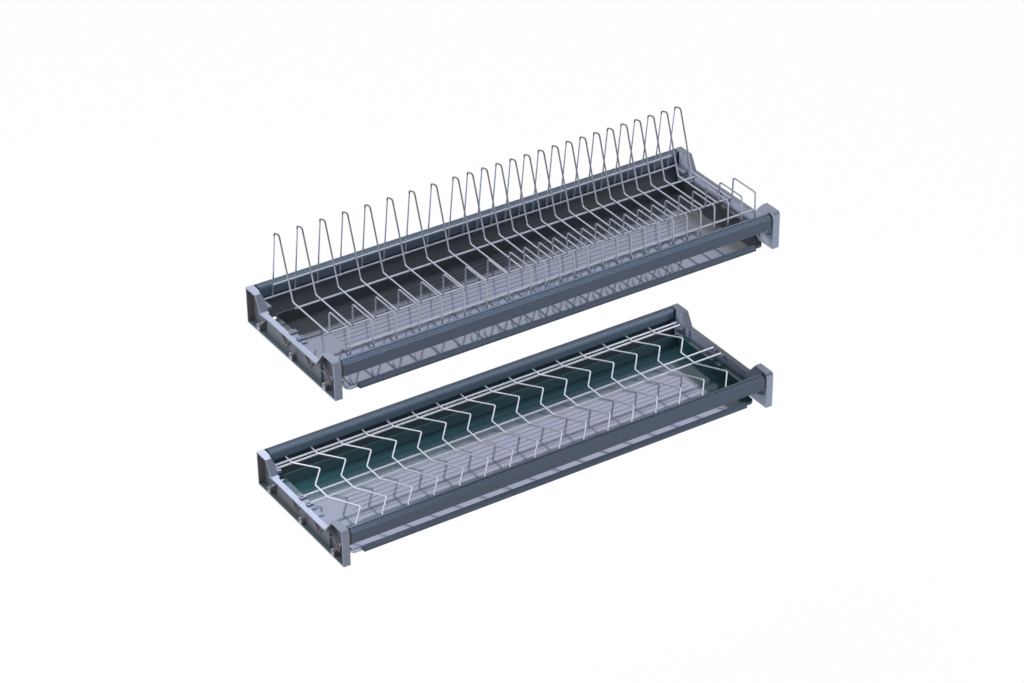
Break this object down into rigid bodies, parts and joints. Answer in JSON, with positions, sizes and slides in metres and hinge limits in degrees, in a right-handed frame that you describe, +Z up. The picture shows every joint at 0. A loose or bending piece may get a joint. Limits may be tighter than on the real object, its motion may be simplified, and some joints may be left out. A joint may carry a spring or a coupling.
{
  "type": "cabinet dish rack",
  "caption": "Two-tier dish rack for a wall cabinet: wire plate insert above, flat wire cup insert below, metal rails between moulded end caps, and pull-out drip trays.",
  "frame": {"origin": "below the middle of the lower tier: centre of the width and the depth, level with the underside of the lower end caps", "axes": "+X to the right along the rails, +Y to the back of the cabinet, +Z up"},
  "size_m": [0.864, 0.286, 0.4948],
  "materials": {
    "cap": "fine satin moulded surface",
    "front_rail": "anthracite anodised, satin",
    "rear_rail": "anthracite anodised, satin",
    "tray": "smoky, glossy",
    "handle": "satin with fine grooves",
    "wire": "bright drawn stainless wire"
  },
  "bodies": {
    "frame": {"upper_left_cap": "cap", "upper_right_cap": "cap", "upper_front_rail": "front_rail", "upper_rear_rail": "rear_rail", "lower_left_cap": "cap", "lower_right_cap": "cap", "lower_front_rail": "front_rail", "lower_rear_rail": "rear_rail"},
    "upper_tray": {"upper_drip_tray": "tray", "upper_tray_handle": "handle"},
    "lower_tray": {"lower_drip_tray": "tray", "lower_tray_handle": "handle"},
    "plate_insert": {"plate_loops_wide": "wire", "plate_loops_close": "wire", "plate_seat_wire": "wire", "plate_back_wire": "wire", "plate_knee_wire": "wire", "plate_valley_wire": "wire", "plate_front_wire": "wire"},
    "cup_insert": {"cup_zigzag_wires": "wire", "cup_rear_wires": "wire", "cup_middle_wires": "wire"}
  },
  "joints": [
    {"name": "upper_tray_slide", "type": "slide", "parent": "frame", "child": "upper_tray", "axis": [0, -1, 0], "range_m": [0, 0.2]},
    {"name": "lower_tray_slide", "type": "slide", "parent": "frame", "child": "lower_tray", "axis": [0, -1, 0], "range_m": [0, 0.2]},
    {"name": "plate_insert_lift", "type": "slide", "parent": "frame", "child": "plate_insert", "axis": [0, 0, 1], "range_m": [0, 0.15]},
    {"name": "cup_insert_lift", "type": "slide", "parent": "frame", "child": "cup_insert", "axis": [0, 0, 1], "range_m": [0, 0.12]}
  ]
}
